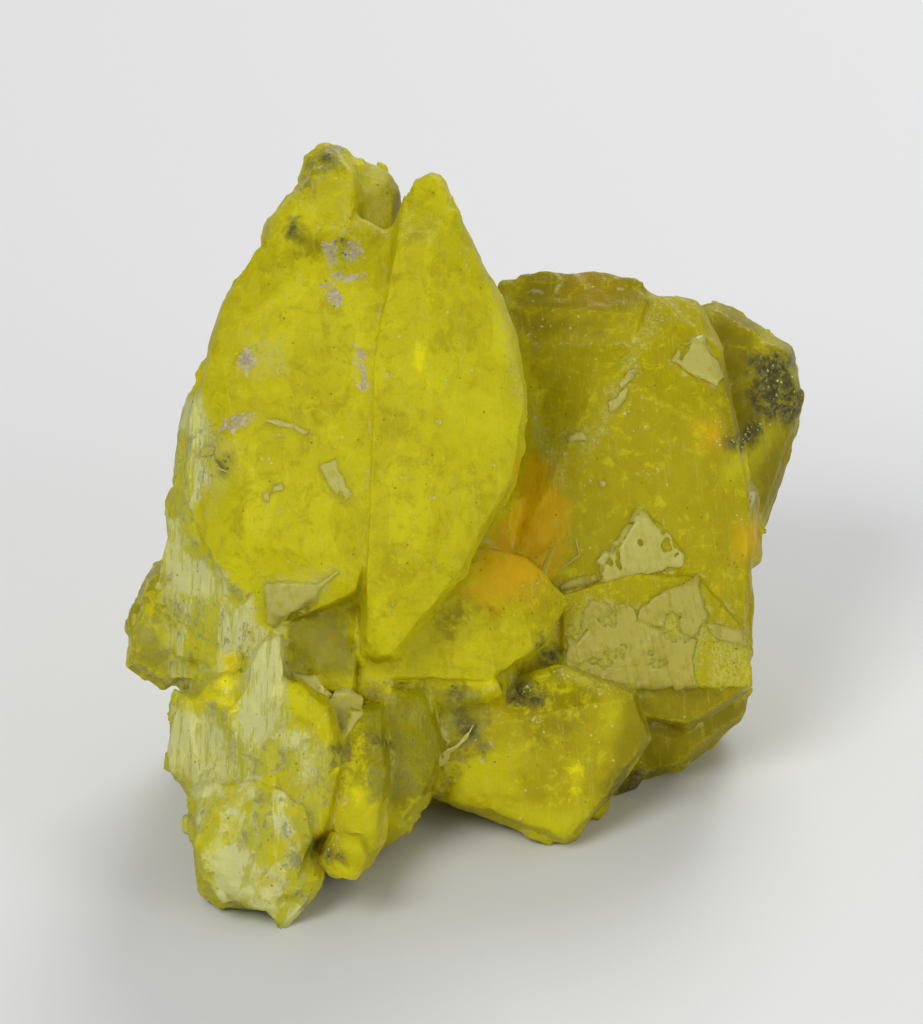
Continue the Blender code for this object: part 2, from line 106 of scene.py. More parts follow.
# Outlines on the face, in mm. Inside each, the crystal has one look.
ZONES = {
    # olive tone of the set-back block, darkened partly as painted shade
    "olive_and_painted_shade": [
        [(0.84, 4.20), (3.15, 4.20), (3.68, 2.63), (2.28, 1.23), (-0.35, 2.28), (0.00, 3.24), (0.81, 3.50)],
        [(-2.10, 2.36), (-0.61, 2.28), (-1.05, 1.19), (-2.17, 1.09)],
        [
            (0.96, 11.81), (1.75, 11.90), (7.18, 11.20), (7.18, 4.03), (5.78, 3.50), (3.68, 1.75),
            (2.80, 4.03), (2.03, 4.90), (1.75, 5.78), (1.05, 5.60), (1.61, 7.88), (1.79, 9.45),
        ],
    ],
    "shade": [
        [(1.66, 11.76), (3.85, 11.81), (3.76, 11.03), (3.15, 10.82), (2.10, 10.82), (1.40, 11.03)],
        [(1.31, 10.82), (2.80, 10.78), (2.84, 10.47), (1.75, 10.43), (1.37, 10.54)],
        [(5.04, 11.03), (5.69, 10.85), (5.51, 9.63), (5.64, 8.58), (5.16, 8.49), (5.02, 9.45)],
        [(3.15, 4.11), (5.78, 4.20), (5.60, 2.98), (3.68, 2.28), (2.80, 2.10), (3.01, 2.98)],
        [(-2.45, 12.15), (-2.07, 12.18), (-2.03, 11.94), (-2.38, 11.90)],
        [(5.86, 8.49), (6.51, 9.28), (6.30, 7.70), (5.95, 7.09), (5.60, 7.53)],
    ],
    "orange": [
        [
            (1.49, 8.28), (1.87, 8.23), (2.19, 7.70), (2.22, 7.18), (2.10, 6.62), (1.84, 5.99),
            (1.26, 5.74), (0.77, 5.64), (0.46, 5.92), (0.79, 6.62), (1.05, 6.97), (1.35, 7.61),
        ],
        [(2.35, 11.52), (3.01, 11.62), (3.19, 11.29), (2.80, 10.99), (2.31, 11.10)],
        [(5.29, 7.07), (5.67, 7.11), (5.64, 6.58), (5.36, 6.58)],
        [(4.59, 8.84), (4.88, 8.86), (4.90, 8.54), (4.66, 8.52)],
        [(-3.97, 0.46), (-3.20, 0.46), (-3.19, 0.21), (-4.03, 0.25)],
    ],
    "haze": [
        [
            (3.76, 11.03), (3.90, 10.96), (3.83, 10.59), (3.52, 10.24), (3.47, 9.77), (3.22, 9.56),
            (3.20, 9.31), (3.01, 9.01), (2.89, 8.72), (2.57, 8.28), (2.47, 8.37), (2.78, 8.84),
            (2.87, 9.14), (3.01, 9.42), (3.29, 9.84), (3.38, 10.24), (3.69, 10.64),
        ],
        [
            (0.86, 11.46), (1.02, 11.38), (1.23, 10.76), (1.65, 9.19), (1.93, 8.58), (2.19, 8.28),
            (2.21, 7.67), (2.07, 7.70), (2.00, 8.14), (1.75, 8.40), (1.51, 9.01), (1.10, 10.41),
            (0.84, 11.20),
        ],
        [(2.19, 8.75), (2.59, 8.75), (2.57, 8.58), (2.21, 8.58)],
        [(-3.40, 10.45), (-2.77, 10.36), (-2.71, 9.80), (-3.33, 9.70)],
        [
            (2.26, 5.43), (2.63, 5.78), (3.50, 5.60), (4.66, 5.95), (4.76, 5.08), (4.55, 4.17),
            (2.80, 4.17), (2.24, 4.45),
        ],
        [(4.76, 5.39), (5.53, 5.25), (5.55, 4.20), (4.76, 4.24)],
        [(-4.20, 8.58), (-3.50, 8.58), (-3.59, 8.05), (-4.11, 7.18)],
        [(-3.12, 6.16), (-1.75, 6.34), (-2.07, 5.78), (-2.98, 5.22)],
        [(-1.54, 13.48), (-1.42, 13.48), (-1.52, 12.78), (-1.59, 12.18), (-1.73, 12.18), (-1.63, 12.86)],
        [(-1.33, 13.39), (-0.95, 13.13), (-0.77, 12.72), (-0.88, 12.32), (-1.33, 12.25), (-1.40, 12.81)],
        [
            (-3.57, 3.29), (-3.12, 3.47), (-2.52, 3.29), (-2.29, 2.87), (-2.49, 2.59), (-2.66, 2.70),
            (-2.56, 2.98), (-2.77, 3.19), (-3.12, 3.26), (-3.12, 2.98), (-2.84, 2.73), (-3.12, 2.66),
            (-3.47, 2.91),
        ],
    ],
    "frosted": [
        [
            (-4.64, 9.71), (-4.15, 9.36), (-4.10, 8.93), (-3.94, 8.58), (-3.99, 8.10), (-4.06, 7.75),
            (-4.41, 7.23), (-4.34, 6.83), (-3.73, 6.18), (-3.27, 5.78), (-3.19, 5.22), (-3.50, 4.81),
            (-3.61, 3.85), (-3.82, 3.89), (-4.06, 4.73), (-4.11, 4.03), (-4.81, 4.03), (-4.90, 6.48),
            (-4.99, 7.18), (-4.90, 8.23),
        ],
        [
            (-4.90, 4.03), (-4.03, 4.03), (-3.50, 3.82), (-2.45, 3.64), (-1.82, 3.15), (-1.93, 2.28),
            (-2.14, 1.75), (-2.07, 0.88), (-2.14, 0.44), (-2.71, -0.18), (-4.38, 0.09), (-5.08, 2.28),
        ],
        [(-3.41, 5.29), (-2.70, 5.29), (-2.66, 4.03), (-2.45, 3.33), (-3.33, 2.98), (-3.64, 3.68)],
    ],
    "lobe": [[(-4.90, 2.28), (-3.33, 2.54), (-1.75, 2.28), (-1.75, -0.18), (-4.90, -0.18)]],
    "panels": [
        [
            (-4.90, 7.18), (-4.60, 7.18), (-4.43, 6.48), (-3.73, 6.18), (-3.80, 5.83), (-4.25, 5.83),
            (-4.90, 5.92),
        ],
        [
            (-3.20, 5.20), (-2.75, 5.23), (-2.73, 3.97), (-2.82, 3.64), (-3.03, 3.45), (-3.29, 3.24),
            (-3.47, 3.41), (-3.55, 3.90), (-3.50, 4.38), (-3.38, 4.85),
        ],
        [
            (-4.69, 3.82), (-3.99, 3.75), (-3.82, 3.36), (-3.75, 2.84), (-3.82, 2.45), (-4.06, 2.38),
            (-4.43, 2.54), (-4.80, 2.66), (-4.83, 3.15),
        ],
        [(-4.62, 9.36), (-4.27, 9.31), (-4.27, 8.84), (-4.55, 8.75)],
        [
            (-2.85, 3.45), (-2.52, 3.40), (-2.22, 3.12), (-2.26, 2.66), (-2.42, 2.63), (-2.38, 3.05),
            (-2.63, 3.26),
        ],
        [(-4.11, 1.40), (-3.59, 1.61), (-3.12, 1.09), (-3.19, 0.53), (-3.85, 0.53)],
    ],
    "dark": [
        [(-2.66, 5.29), (-2.00, 5.53), (-1.58, 5.60), (-1.45, 4.73), (-1.45, 4.31), (-2.63, 4.52)],
        [
            (-1.45, 4.29), (0.00, 4.29), (0.82, 4.20), (0.77, 3.64), (0.12, 3.03), (-0.25, 2.33),
            (-0.56, 1.93), (-0.95, 2.24), (-1.45, 2.49), (-1.89, 2.22), (-1.89, 3.12), (-1.37, 3.80),
        ],
        [(-0.07, 5.57), (0.53, 5.78), (0.88, 5.57), (0.18, 5.08)],
        [(1.14, 4.41), (1.96, 4.81), (2.80, 4.17), (2.80, 3.68), (1.75, 3.15), (1.19, 3.82)],
        [(-5.36, 5.22), (-4.90, 5.25), (-4.88, 4.55), (-5.32, 4.59)],
    ],
    "speckled": [
        [
            (5.55, 10.03), (5.95, 10.29), (6.34, 10.20), (6.39, 9.80), (6.51, 9.36), (6.48, 9.10),
            (6.21, 8.93), (5.81, 8.84), (5.64, 9.19), (5.51, 9.63),
        ],
        [(5.16, 8.58), (5.64, 8.96), (5.78, 8.86), (5.46, 8.47), (5.22, 8.40)],
        [(0.18, 4.24), (0.37, 4.27), (0.33, 3.96), (0.19, 3.92)],
        [(0.30, 3.85), (0.61, 3.64), (0.77, 3.20), (0.44, 3.24), (0.25, 3.50)],
        [(1.17, 4.31), (1.40, 4.38), (1.89, 4.13), (1.84, 3.85), (1.26, 3.92)],
        [(1.70, 4.97), (1.96, 5.04), (2.21, 4.83), (2.10, 4.66), (1.79, 4.76)],
        [(3.08, 2.49), (3.33, 2.70), (3.57, 2.71), (3.82, 2.52), (3.41, 2.24), (3.05, 2.17)],
        [(-2.15, 1.61), (-1.93, 1.54), (-1.72, 1.35), (-1.68, 1.16), (-1.96, 1.26), (-2.17, 1.44)],
        [(-2.05, 13.65), (-1.89, 13.69), (-1.91, 13.34), (-2.03, 13.27)],
        [(-2.66, 12.50), (-2.50, 12.50), (-2.52, 12.20), (-2.66, 12.18)],
        [(-1.75, 12.11), (-1.65, 12.11), (-1.65, 11.59), (-1.73, 11.59)],
        [(-1.80, 3.26), (-1.58, 3.29), (-1.58, 2.98), (-1.79, 2.94)],
        [(-1.30, 3.40), (-0.74, 3.36), (-0.74, 3.19), (-1.26, 3.19)],
        [(-3.85, 8.26), (-3.64, 8.33), (-3.71, 8.02), (-3.83, 7.98)],
    ],
    "clay": [
        [(-3.85, 8.75), (-3.76, 8.96), (-3.36, 9.05), (-3.15, 9.01), (-3.33, 8.87), (-3.61, 8.70)],
        [(-1.45, 10.27), (-1.33, 10.22), (-1.26, 9.49), (-1.37, 9.42), (-1.44, 9.85)],
        [(-2.07, 12.02), (-1.79, 12.08), (-1.82, 11.69), (-1.96, 11.66)],
        [(-1.61, 12.11), (-1.37, 11.97), (-1.47, 11.66), (-1.61, 11.69)],
        [(-1.96, 11.48), (-1.31, 11.48), (-1.30, 11.36), (-1.96, 11.38)],
        [(-2.10, 11.29), (-1.89, 11.32), (-1.70, 11.06), (-1.79, 10.92), (-1.93, 10.99), (-1.96, 11.17)],
        [(-3.55, 10.10), (-3.36, 10.15), (-3.20, 9.87), (-3.36, 9.73), (-3.55, 9.85)],
        [(-1.96, 13.83), (-1.66, 13.83), (-1.72, 13.67), (-1.93, 13.67)],
    ],
    # painted glints: small spots of light reflected inside the crystal
    "painted_glints": [
        [(-3.90, 4.81), (-3.59, 4.87), (-3.64, 3.89), (-3.85, 3.92)],
        [(-0.46, 10.24), (-0.33, 10.20), (-0.35, 9.82), (-0.44, 9.87)],
        [(2.31, 2.91), (2.49, 2.87), (2.45, 2.28), (2.35, 2.24)],
        [(-1.54, 2.45), (-1.37, 2.40), (-1.30, 2.14), (-1.49, 2.21)],
    ],
    # painted light: soft patches where light is reflected inside the crystal
    "painted_light_patches": [
        [(-1.96, 2.07), (-1.45, 2.49), (-0.95, 2.21), (-0.60, 1.89), (-1.23, 1.30), (-1.72, 1.26)],
        [(0.88, 2.28), (2.10, 2.01), (2.66, 2.17), (2.24, 1.44), (1.75, 1.54), (1.05, 1.93)],
        [(0.09, 2.98), (1.40, 3.12), (1.44, 2.31), (0.18, 2.36)],
        [(5.08, 8.05), (5.34, 8.49), (5.81, 8.72), (5.95, 8.51), (5.55, 8.05), (5.16, 7.93)],
        [(0.00, 9.28), (1.05, 9.63), (1.26, 8.75), (0.70, 8.37), (0.09, 8.58)],
        [(3.15, 4.03), (3.50, 3.68), (2.98, 3.33), (2.80, 3.76)],
        [(-3.99, 5.08), (-3.50, 5.15), (-3.50, 4.38), (-3.71, 3.75), (-3.99, 4.20)],
    ],
    "clear": [
        [(-1.93, 13.84), (-2.42, 13.62), (-2.52, 12.95), (-2.17, 12.78), (-1.68, 13.30), (-1.65, 13.74)],
        [(-1.31, 4.20), (0.79, 4.20), (0.79, 3.24), (0.00, 2.28), (-1.23, 2.28)],
        [(-2.71, 5.60), (-1.49, 5.67), (-1.40, 4.38), (-2.63, 4.38)],
        [(-5.57, 6.48), (-4.90, 6.48), (-4.81, 4.20), (-5.57, 4.20)],
    ],
    "smooth": [
        [
            (-3.94, 11.03), (-1.93, 11.90), (-0.35, 13.30), (0.53, 12.25), (1.49, 9.63), (1.31, 7.88),
            (-0.79, 4.81), (-2.98, 5.34), (-4.11, 6.48), (-4.20, 8.75),
        ],
        [(2.80, 10.50), (4.90, 10.68), (4.99, 6.48), (2.80, 5.78), (2.10, 8.05)],
    ],
}
REACH = 0.6  # how far from its outline a zone is still measured, in mm
ALL_ROUND = ("olive_and_painted_shade", "frosted", "lobe", "clear", "smooth")  # the other zones are only where the face looks out


def depth_inside(outline, u, v):
    """How far each point lies inside the outline, in mm, and less than 0 outside."""
    nearest = np.full(len(u), 1e9)
    inside = np.zeros(len(u), bool)
    for (a, b), (c, d) in zip(outline, outline[1:] + outline[:1]):
        along = np.clip(((u - a) * (c - a) + (v - b) * (d - b)) / ((c - a) ** 2 + (d - b) ** 2), 0, 1)
        nearest = np.minimum(nearest, np.hypot(u - a - along * (c - a), v - b - along * (d - b)))
        if b != d:
            inside ^= ((b > v) != (d > v)) & (u < (c - a) * (v - b) / (d - b) + a)
    return np.where(inside, nearest, -nearest)


def marked(bm, seen):
    """Keeps on each vertex how deep it lies in each zone, from 0 at REACH outside to twice REACH inside."""
    u, v, _ = np.array([vert.co for vert in bm.verts]).T
    depths = {}
    for name, outlines in ZONES.items():
        depth = np.max([depth_inside(outline, u, v) for outline in outlines], axis=0)
        depths[name] = np.clip(depth, -REACH, REACH) + REACH
        if name not in ALL_ROUND:
            depths[name] *= seen
        layer = bm.verts.layers.float.new(name)
        for vert, value in zip(bm.verts, depths[name]):
            vert[layer] = value
    return depths


# ---------------------------------------------------------------- finishes


class Signal:
    """A value in a finish. Arithmetic on it adds Math nodes."""

    def __init__(self, finish, socket):
        self.finish = finish
        self.socket = socket

    def math(self, operation, *others):
        values = dict(enumerate((self, *others)))
        return self.finish.add("ShaderNodeMath", {"operation": operation}, values)

    def __add__(self, other):
        return self.math("ADD", other)

    def __sub__(self, other):
        return self.math("SUBTRACT", other)

    def __mul__(self, other):
        return self.math("MULTIPLY", other)

    def __rsub__(self, other):
        return self.finish.add("ShaderNodeMath", {"operation": "SUBTRACT"}, {0: other, 1: self})

    __radd__ = __add__
    __rmul__ = __mul__

    def fade(self, low, high):
        """0 at low, 1 at high and a smooth change between them."""
        sockets = {"Value": self, "From Min": low, "From Max": high}
        return self.finish.add("ShaderNodeMapRange", {"interpolation_type": "SMOOTHSTEP"}, sockets)


class Finish:
    """A material made of nodes. Its patterns are laid on the face, in mm."""

    def __init__(self, name):
        self.material = bpy.data.materials.new(name)
        self.material.use_nodes = True
        self.tree = self.material.node_tree
        self.tree.nodes.clear()
        here = self.add("ShaderNodeTexCoord", output="Object")
        turn = {"Location": ON_FACE.to_translation(), "Rotation": ON_FACE.to_euler(), "Scale": (1 / MM,) * 3}
        self.place = self.add("ShaderNodeMapping", {"vector_type": "POINT"}, {"Vector": here, **turn})

    def add(self, kind, settings=None, sockets=None, output=0):
        """Adds a node, its settings first, and gives one of its outputs."""
        node = self.tree.nodes.new(kind)
        for key, value in (settings or {}).items():
            setattr(node, key, value)
        for key, value in (sockets or {}).items():
            if isinstance(value, Signal):
                self.tree.links.new(value.socket, node.inputs[key])
            else:
                node.inputs[key].default_value = value
        return Signal(self, node.outputs[output])

    def drawn_out(self, scale, turn):
        """Places divided by scale along three axes that are turned by turn degrees."""
        sockets = {"Vector": self.place, "Scale": scale, "Rotation": tuple(math.radians(a) for a in turn)}
        return self.add("ShaderNodeMapping", {"vector_type": "TEXTURE"}, sockets)

    def fanned(self, across, along):
        """Places round the lobe's centre, so that a pattern radiates from it."""
        u, v, n = (self.add("ShaderNodeSeparateXYZ", None, {0: self.place}, i) for i in range(3))
        u, v = u - FAN.x, v - FAN.y
        angle = v.math("ARCTAN2", u)
        reach = (u * u + v * v).math("SQRT")
        return self.add("ShaderNodeCombineXYZ", None, {0: angle * across, 1: reach * along, 2: n * along})

    def cloud(self, scale, detail, rough=0.55, warp=0.0, at=None):
        """A cloudy grain, of so many to the mm."""
        at = at or self.place
        sockets = {"Vector": at, "Scale": scale, "Detail": detail, "Roughness": rough, "Distortion": warp}
        return self.add("ShaderNodeTexNoise", None, sockets)

    def cells(self, scale, at=None, output="Distance"):
        """A pattern of cells, of so many to the mm."""
        return self.add("ShaderNodeTexVoronoi", None, {"Vector": at or self.place, "Scale": scale}, output)

    def mark(self, name):
        """A value kept on the mesh's vertices."""
        return self.add("ShaderNodeAttribute", {"attribute_name": name}, output="Fac")

    def zone(self, name, grain, ragged, soft):
        """A zone's share, its edge soft over so many mm and made ragged by a grain, by about a quarter of ragged."""
        edge = REACH + 0.5 * ragged
        return (self.mark(name) + grain * ragged).fade(edge - soft, edge + soft)

    def blend(self, first, second, share):
        """A colour between two, each a colour or another blend."""
        first, second = (c if isinstance(c, Signal) else (*c, 1) for c in (first, second))
        return self.add("ShaderNodeMix", {"data_type": "RGBA"}, {0: share, 6: first, 7: second}, output=2)

    def bump(self, height, depth, strength):
        """Fine relief up to depth mm."""
        sockets = {"Height": height, "Distance": depth * MM, "Strength": strength}
        return self.add("ShaderNodeBump", None, sockets)

    def shader(self, **sockets):
        named = {key.replace("_", " "): value for key, value in sockets.items()}
        return self.add("ShaderNodeBsdfPrincipled", {"subsurface_method": "BURLEY"}, named)

    def done(self, surface):
        node = self.tree.nodes.new("ShaderNodeOutputMaterial")
        self.tree.links.new(surface.socket, node.inputs["Surface"])
        return self.material


YELLOW = (0.47, 0.42, 0.002)
LEMON = (0.56, 0.52, 0.006)
DEEP = (0.31, 0.26, 0.001)
# the right block's olive tone, darker partly as painted shade
OLIVE_AND_PAINTED_SHADE = (0.37, 0.31, 0.001)
SHADE = (0.20, 0.16, 0.001)
DARK = (0.20, 0.17, 0.001)
ORANGE = (0.70, 0.40, 0.002)
HAZE = (0.46, 0.43, 0.07)
FROST = (0.38, 0.37, 0.03)
WHITE = (0.53, 0.53, 0.23)
GREY = (0.21, 0.21, 0.11)
SOOT = (0.045, 0.043, 0.012)
CLAY = (0.38, 0.30, 0.20)
DUST = (0.52, 0.48, 0.24)
# the colour of the painted glints
PAINTED_GLINT = (0.78, 0.68, 0.002)
CLEAR = (0.86, 0.82, 0.14)
CRYSTAL_IOR = 1.55


def crystal_finish():
    f = Finish("jouravskite crystal")
    broad = f.cloud(0.5, 2)
    patches = f.cloud(1.5, 4, 0.66, 0.9)
    mottle = f.cloud(4.5, 4, 0.72, 0.5)
    fine = f.cloud(15.0, 3, 0.7)
    scratches = f.cloud(1.0, 3, 0.65, at=f.drawn_out((0.07, 1.2, 0.3), (0, 0, 7)))
    tones = f.cells(1.0, at=f.drawn_out((0.50, 1.1, 0.7), (0, 0, -8)), output="Color")
    tone = f.add("ShaderNodeSeparateXYZ", None, {0: tones})

    # The yellow ground and its patches, some of them painted shade and painted light
    colour = f.blend(YELLOW, LEMON, broad.fade(0.42, 0.62) * 0.7)
    # olive tone with painted shade over the set-back block, all round
    colour = f.blend(colour, OLIVE_AND_PAINTED_SHADE, f.zone("olive_and_painted_shade", patches, 0.6, 0.12))
    colour = f.blend(colour, DEEP, patches.fade(0.50, 0.64) * 0.45)
    colour = f.blend(colour, DEEP, mottle.fade(0.52, 0.64) * 0.4)
    colour = f.blend(colour, DEEP, tone.fade(0.60, 0.64) * 0.22)
    colour = f.blend(colour, LEMON, mottle.fade(0.46, 0.34) * 0.5)
    # painted light: soft lighter patches of light reflected inside the crystal
    colour = f.blend(colour, LEMON, f.zone("painted_light_patches", patches, 0.9, 0.30) * 0.6)
    colour = f.blend(colour, ORANGE, f.zone("orange", patches, 0.8, 0.30) * 0.8)
    colour = f.blend(colour, SHADE, f.zone("shade", patches, 0.8, 0.22) * 0.75)
    colour = f.blend(colour, DARK, f.zone("dark", patches, 0.9, 0.16) * mottle.fade(0.40, 0.56) * 0.6)
    colour = f.blend(colour, HAZE, scratches.fade(0.58, 0.64) * fine.fade(0.38, 0.52) * 0.3)
    colour = f.blend(colour, HAZE, f.zone("haze", mottle, 1.0, 0.12) * fine.fade(0.35, 0.6) * 0.85)

    # The frosted and fibrous crystal
    frosted = f.zone("frosted", mottle, 0.5, 0.08)
    fibres = f.cloud(1.0, 3, 0.68, at=f.drawn_out((0.07, 0.8, 0.3), (0, 0, -3)))
    rays = f.cloud(1.0, 3, 0.68, at=f.fanned(9.0, 1.2))
    lines = fibres + f.zone("lobe", patches, 0.8, 0.3) * (rays - fibres)
    icy = f.blend(FROST, WHITE, (lines * 0.75 + tone * 0.25).fade(0.45, 0.62))
    icy = f.blend(icy, GREY, (lines * 0.5 + mottle * 0.5).fade(0.51, 0.59) * 0.8)
    icy = f.blend(icy, YELLOW, patches.fade(0.52, 0.60) * 0.65)
    colour = f.blend(colour, icy, frosted * 0.95)
    whiter = f.blend(WHITE, FROST, lines.fade(0.50, 0.60) * 0.8)
    colour = f.blend(colour, whiter, f.zone("panels", mottle, 0.7, 0.09) * 0.85)

    # Dusty crevices, ridges lighter as worn edges and as painted highlight, clay, painted glints, soot and pits
    colour = f.blend(colour, DUST, f.mark("seam") * mottle.fade(0.52, 0.58) * 0.6)
    # ridges lighter: partly wear, partly a painted highlight on the crystals' edges
    colour = f.blend(colour, LEMON, f.mark("ridge") * fine.fade(0.40, 0.60) * 0.4)
    clay = f.zone("clay", mottle, 0.6, 0.02) * fine.fade(0.62, 0.50)
    colour = f.blend(colour, f.blend(CLAY, DUST, mottle.fade(0.45, 0.6)), clay * 0.8)
    # painted glints: bright yellow spots of reflected light
    colour = f.blend(colour, PAINTED_GLINT, f.zone("painted_glints", mottle, 0.7, 0.12) * 0.75)
    soot = f.zone("speckled", patches, 0.9, 0.20)
    colour = f.blend(colour, SOOT, soot * (mottle.fade(0.38, 0.56) * 0.45 + 0.50))
    colour = f.blend(colour, GREY, soot * fine.fade(0.52, 0.60) * 0.5)
    pits = f.cells(5.0)
    colour = f.blend(colour, SHADE, pits.fade(0.14, 0.08) * patches.fade(0.48, 0.54) * 0.8)
    colour = f.blend(colour, DUST, pits.fade(0.15, 0.08) * patches.fade(0.44, 0.40) * 0.9)

    normal = f.bump(fine * 0.6 + mottle * 1.2 + fibres * 0.9, 0.03, 0.8)
    waxy = f.shader(
        Base_Color=colour,
        Roughness=0.30 + fine * 0.2,
        IOR=CRYSTAL_IOR,
        Specular_IOR_Level=0.09,
        Normal=normal,
        Subsurface_Weight=0.7,
        Subsurface_Radius=(1.0, 0.85, 0.06),
        Subsurface_Scale=0.40 * MM,
    )
    glass = f.shader(
        Base_Color=(*CLEAR, 1), Roughness=0.10, IOR=CRYSTAL_IOR, Transmission_Weight=1.0, Normal=normal
    )
    clear = f.zone("clear", patches, 0.8, 0.1) * mottle.fade(0.60, 0.42) * (1 - soot) * 0.5
    return f.done(f.add("ShaderNodeMixShader", None, {0: clear, 1: waxy, 2: glass}))


def cleavage_finish(name, colour, shade, rough):
    """Pale cleaved crystal, pale partly in its own colour and partly as a painted reflection, with fine parallel
    lines and small pits.
    """
    f = Finish(name)
    lines = f.cloud(1.0, 4, 0.6, at=f.drawn_out((0.06, 0.9, 0.2), (0, 0, 12)))
    mottle = f.cloud(5.0, 5, 0.65)
    fine = f.cloud(14.0, 5, 0.65)
    pits = f.cells(4.2)
    mixed = f.blend(colour, shade, (lines * 0.4 + mottle * 0.6).fade(0.46, 0.62) * 0.75)
    mixed = f.blend(mixed, DEEP, pits.fade(0.15, 0.09) * mottle.fade(0.44, 0.52) * 0.8)
    return f.done(
        f.shader(
            Base_Color=mixed,
            Roughness=rough + fine * 0.2,
            IOR=CRYSTAL_IOR,
            Specular_IOR_Level=0.3,
            Normal=f.bump(lines * 0.6 + fine * 0.4 + pits.fade(0.15, 0.06) * -0.5, 0.012, 0.6),
            Subsurface_Weight=0.5,
            Subsurface_Radius=(1.0, 0.9, 0.25),
            Subsurface_Scale=0.12 * MM,
        )
    )


def grain_finish(name, light, dark, rough=0.6):
    f = Finish(name)
    mixed = f.blend(dark, light, f.cloud(6.0, 4).fade(0.35, 0.65))
    normal = f.bump(f.cloud(25.0, 4), 0.01, 0.6)
    return f.done(f.shader(Base_Color=mixed, Roughness=rough, IOR=1.5, Normal=normal))


# ---------------------------------------------------------------- meshes


def refined(bm, longest):
    """Divides every edge that is longer than allowed where it lies. A few passes are enough."""
    for _ in range(REFINING_PASSES):
        long_edges = [edge for edge in bm.edges if edge.calc_length() > longest(edge)]
        bmesh.ops.subdivide_edges(bm, edges=long_edges, cuts=1, use_grid_fill=True, use_single_edge=True)
        bmesh.ops.triangulate(bm, faces=[face for face in bm.faces if len(face.verts) > 3])


def eased(bm, verts, times=1):
    """Moves each point halfway to the middle of its neighbours."""
    for _ in range(times):
        bmesh.ops.smooth_vert(bm, verts=verts, factor=0.5, use_axis_x=True, use_axis_y=True, use_axis_z=True)


def mesh_from(bm, name):
    mesh = bpy.data.meshes.new(name)
    bm.to_mesh(mesh)
    bm.free()
    return mesh


def joined(pieces):
    """Several meshes in one."""
    whole = bmesh.new()
    for piece in pieces:
        mesh = mesh_from(piece, "part")
        whole.from_mesh(mesh)
        bpy.data.meshes.remove(mesh)
    return whole


def placed(name, data):
    obj = bpy.data.objects.new(name, data)
    bpy.context.scene.collection.objects.link(obj)
    return obj


def shown(name, bm, finish, smooth=False):
    """Makes a piece of the cluster from a mesh on the face."""
    bmesh.ops.transform(bm, matrix=FACE, verts=bm.verts)
    bmesh.ops.recalc_face_normals(bm, faces=bm.faces)
    mesh = mesh_from(bm, name)
    if smooth:
        mesh.shade_smooth()
    obj = placed(name, mesh)
    mesh.materials.append(finish)
    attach(obj, "root")
    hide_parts("jouravskite_cluster")


# ---------------------------------------------------------------- the crystals

# Crevices that have grown shut, and the level that each is filled to
HEALED = [
    ([(-1.63, 5.85), (-1.28, 5.85), (-1.28, 4.62), (-1.54, 4.03), (-1.63, 4.20)], -0.88),
    ([(-1.52, 4.69), (-0.74, 4.69), (-0.67, 4.13), (-0.84, 3.75), (-1.52, 3.92)], -1.22),
    ([(-0.77, 4.38), (1.05, 4.38), (1.16, 4.03), (0.00, 3.82), (-0.74, 3.92)], -1.95),
]
HEALED_DEPTH = 1.0  # how deep below its level a crevice is still filled, in mm
HEALED_SEEN = 0.3  # how far it must be in view
SOFT_SEAMS = (4.2, -1.6)  # the crevices above this V and in front of this N are eased the most
SEEN_TILT = 0.08  # how much a point in view looks out, along N
LIFTED = (0.01, 0.02)  # how far out and how far off its surface a line of sight starts, in mm
FROST_BORDER = 0.2  # how wide the frosted relief's border is, in mm
BLURS = 4  # how often a share is evened out with its neighbours


def longest_edge(edge):
    """The longest that an edge of the body may be where it lies."""
    first, second = edge.verts
    if max(first.co.dot(UP), second.co.dot(UP)) < BASE_TOP:
        return BASE_EDGE
    if edge.link_faces[0].normal.z < LOOKS_BACK:
        return BACK_EDGE
    frosted = first.co.x < FINE_CORNER[0] and first.co.y < FINE_CORNER[1]
    return FINE_EDGE if frosted else FRONT_EDGE


def bends_eased(bm):
    """Marks the crystals' edges as ridges and their crevices as seams, then eases both."""
    ridge = bm.verts.layers.float.new("ridge")
    seam = bm.verts.layers.float.new("seam")
    for edge in bm.edges:
        bend = edge.calc_face_angle_signed(0)
        for vert in edge.verts:
            if bend > SHARP:
                vert[ridge] = 1
            elif bend < -SHARP:
                vert[seam] = 1
    eased(bm, [vert for vert in bm.verts if vert.co.dot(UP) > EASED_FROM], 2)
    low, back = SOFT_SEAMS
    soft = {vert for vert in bm.verts if vert[seam] and vert.co.z > back and vert.co.y > low}
    soft |= {edge.other_vert(vert) for vert in soft for edge in vert.link_edges}
    eased(bm, list(soft), 6)


def seen_share(bm):
    """How far each vertex is in view from in front of the face, from 0 to 1, blurred along the mesh."""
    bm.normal_update()
    bm.verts.ensure_lookup_table()
    whole = BVHTree.FromBMesh(bm)
    further, off = LIFTED
    seen = [
        vert.normal.z > SEEN_TILT
        and whole.ray_cast(vert.co + OUT * further + vert.normal * off, OUT)[0] is None
        for vert in bm.verts
    ]
    ends = np.array([[vert.index for vert in edge.verts] for edge in bm.edges]).T
    seen, links = np.array(seen, float), np.bincount(ends.ravel())
    for _ in range(BLURS):
        seen = (seen + sum(np.bincount(a, seen[b], len(seen)) for a, b in (ends, ends[::-1]))) / (1 + links)
    return seen


def healed(bm, seen):
    """Lifts the floor of each healed crevice to its level."""
    u, v, n = np.array([vert.co for vert in bm.verts]).T
    for outline, level in HEALED:
        low = (n < level) & (n > level - HEALED_DEPTH)
        for i in np.flatnonzero((depth_inside(outline, u, v) > 0) & low & (seen > HEALED_SEEN)):
            bm.verts[i].co.z = level


